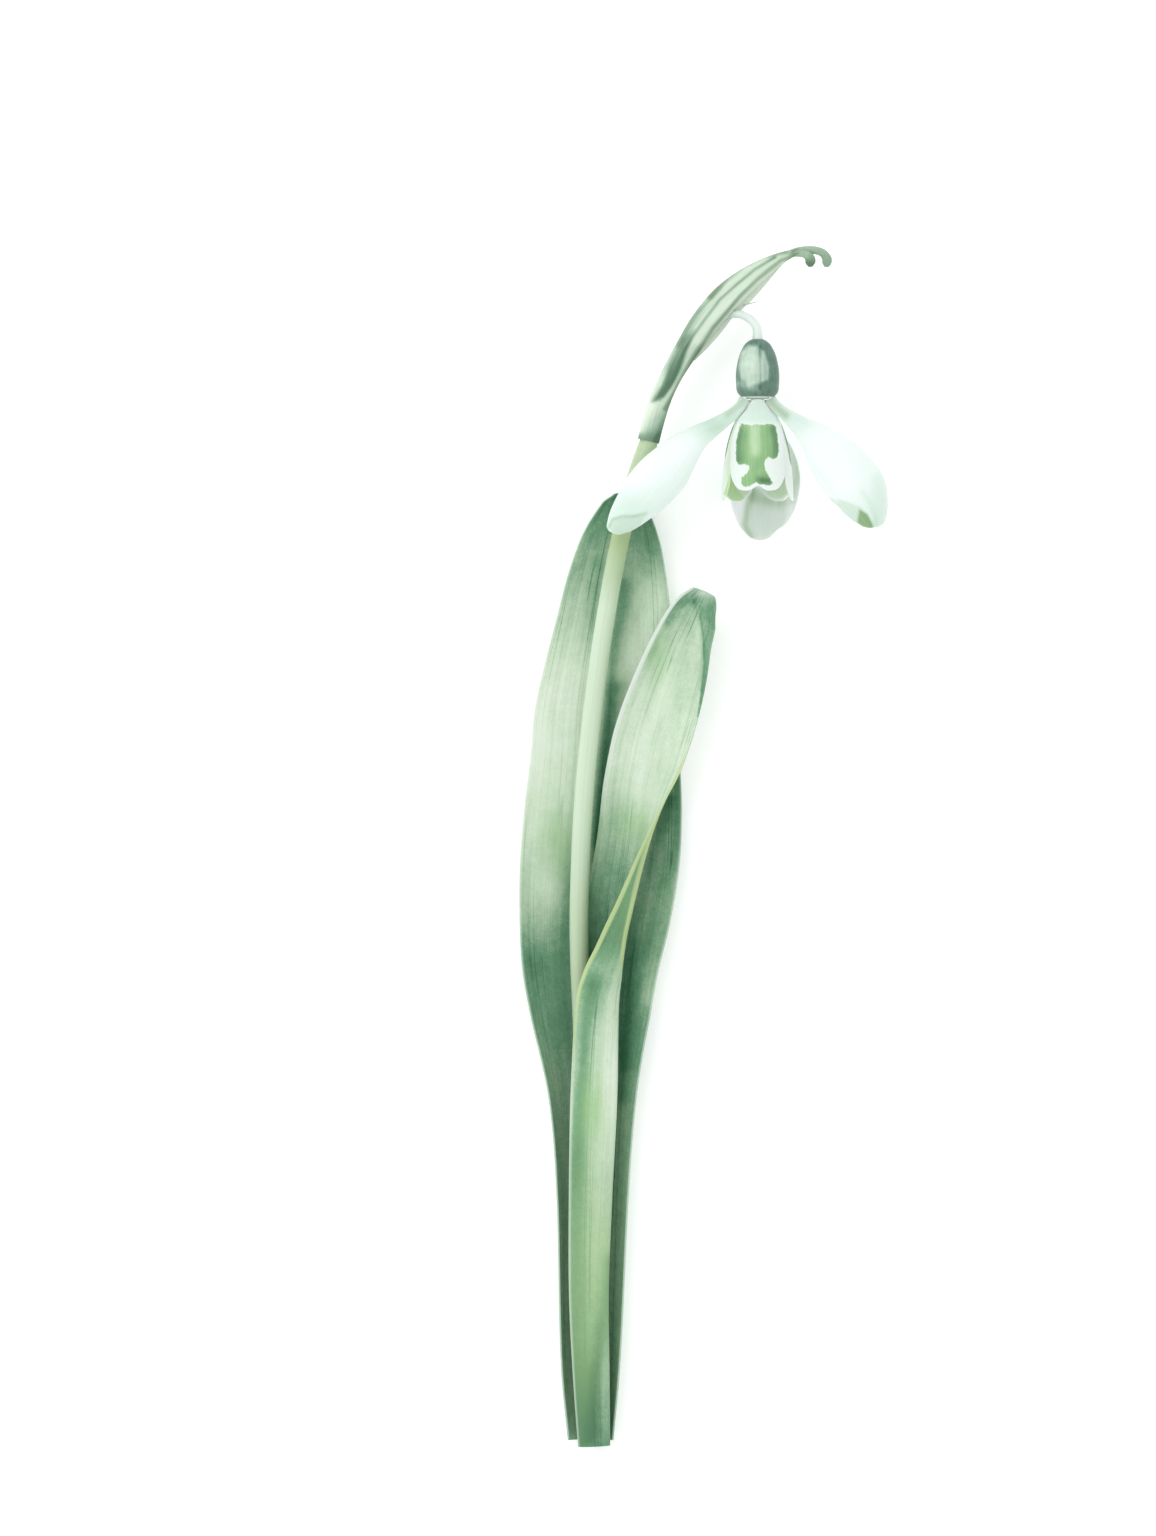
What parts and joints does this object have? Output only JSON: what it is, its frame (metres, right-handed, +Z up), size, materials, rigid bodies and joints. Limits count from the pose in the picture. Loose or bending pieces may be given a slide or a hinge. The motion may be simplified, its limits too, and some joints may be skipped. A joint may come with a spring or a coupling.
{
  "type": "snowdrop flower",
  "caption": "Picked snowdrop lying on its back: a drooping bell of spread white outer petals round a green-marked inner cup, under a hooded spathe, with strap leaves clasping the stem.",
  "frame": {"origin": "centre of the bounding box in plan, at the height of the table that the shoot lies on", "axes": "+Y along the shoot from its cut end to the flower, +Z up from the table, +X to the right of somebody who looks down on it with the flower at the far end"},
  "size_m": [0.0557, 0.1802, 0.0147],
  "materials": {
    "stem": "smooth waxy skin of a pale green stem",
    "leaf_green": "waxy blue-green leaf with fine lengthwise veins",
    "leaf_pale": "waxy pale green leaf with fine lengthwise veins",
    "spathe": "papery pale membrane with green keels",
    "pedicel": "smooth whitish green stalk",
    "ovary": "smooth waxy dark green",
    "petal_white": "white petal, matt, thin and slightly see-through",
    "petal_marked": "white petal with green marks, matt",
    "anther": "matt orange-yellow",
    "style": "matt yellow-green"
  },
  "bodies": {
    "root": {"scape": "stem", "leaf_back": "leaf_green", "leaf_front": "leaf_pale", "spathe": "spathe", "pedicel": "pedicel", "ovary": "ovary", "outer_petal_left": "petal_white", "outer_petal_right": "petal_white", "outer_petal_back": "petal_white", "inner_petal_front": "petal_marked", "inner_petal_left": "petal_marked", "inner_petal_right": "petal_marked", "stamen_1": "anther", "stamen_2": "anther", "stamen_3": "anther", "stamen_4": "anther", "stamen_5": "anther", "stamen_6": "anther", "style": "style"}
  },
  "joints": []
}
